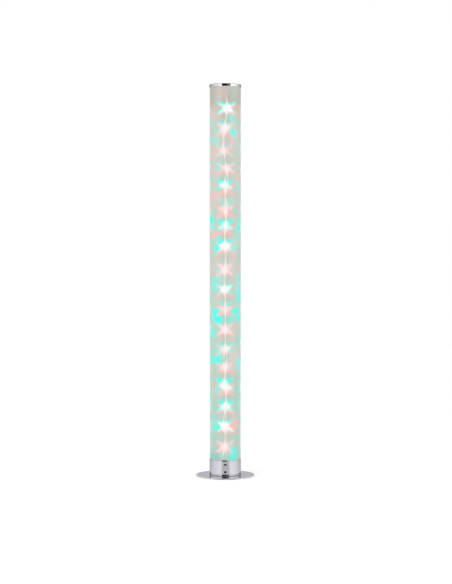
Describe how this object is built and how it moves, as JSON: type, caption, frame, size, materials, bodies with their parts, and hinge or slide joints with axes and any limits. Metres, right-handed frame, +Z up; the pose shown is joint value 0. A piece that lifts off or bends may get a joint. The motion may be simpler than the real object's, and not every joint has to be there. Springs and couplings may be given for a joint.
{
  "type": "corner floor lamp",
  "caption": "Tall round light column with a star-effect film, on a chromed cup and disc base, under a chromed cap.",
  "frame": {"origin": "on the floor, under the column's axis", "axes": "+Z up along the column's axis, -Y towards the receiver eye at the front, +Y towards the supply socket"},
  "size_m": [0.15, 0.15, 1.006],
  "materials": {
    "chromed_steel": "polished chromium plating",
    "foam": "fine closed-cell foam",
    "cast_iron": "sand cast, blackened",
    "zinc_steel": "zinc plated",
    "black_abs": "fine spark-eroded texture",
    "clear_acrylic": "extruded, clear",
    "star_film": "satin optical film",
    "aluminium": "natural anodised extrusion",
    "strip_board": "white solder mask",
    "led_package": "white package with a clear well",
    "circuit_board": "green solder mask",
    "black_epoxy": "moulded epoxy",
    "smoked_window": "smoked polycarbonate",
    "nickel_brass": "nickel plated",
    "wire_sheath": "soft sheath"
  },
  "bodies": {
    "root": {"base_plate": "chromed_steel", "base_cup": "chromed_steel", "top_cap": "chromed_steel", "floor_pad": "foam", "ballast": "cast_iron", "plate_screws": "zinc_steel", "holder_screws": "zinc_steel", "spine_screws": "zinc_steel", "lower_holder": "black_abs", "cap_insert": "black_abs", "dc_jack": "black_abs", "controller_case_lower": "black_abs", "controller_case_upper": "black_abs", "diffuser_tube": "clear_acrylic", "star_film": "star_film", "led_spine": "aluminium", "led_strip_front": "strip_board", "led_strip_right": "strip_board", "led_strip_back": "strip_board", "led_strip_left": "strip_board", "leds_front": "led_package", "leds_right": "led_package", "leds_back": "led_package", "leds_left": "led_package", "controller_board": "circuit_board", "ir_board": "circuit_board", "board_components": "black_epoxy", "ir_receiver": "black_epoxy", "ir_eye": "smoked_window", "jack_pin": "nickel_brass", "ir_lead": "wire_sheath", "power_lead": "wire_sheath", "strip_lead": "wire_sheath"}
  },
  "joints": []
}
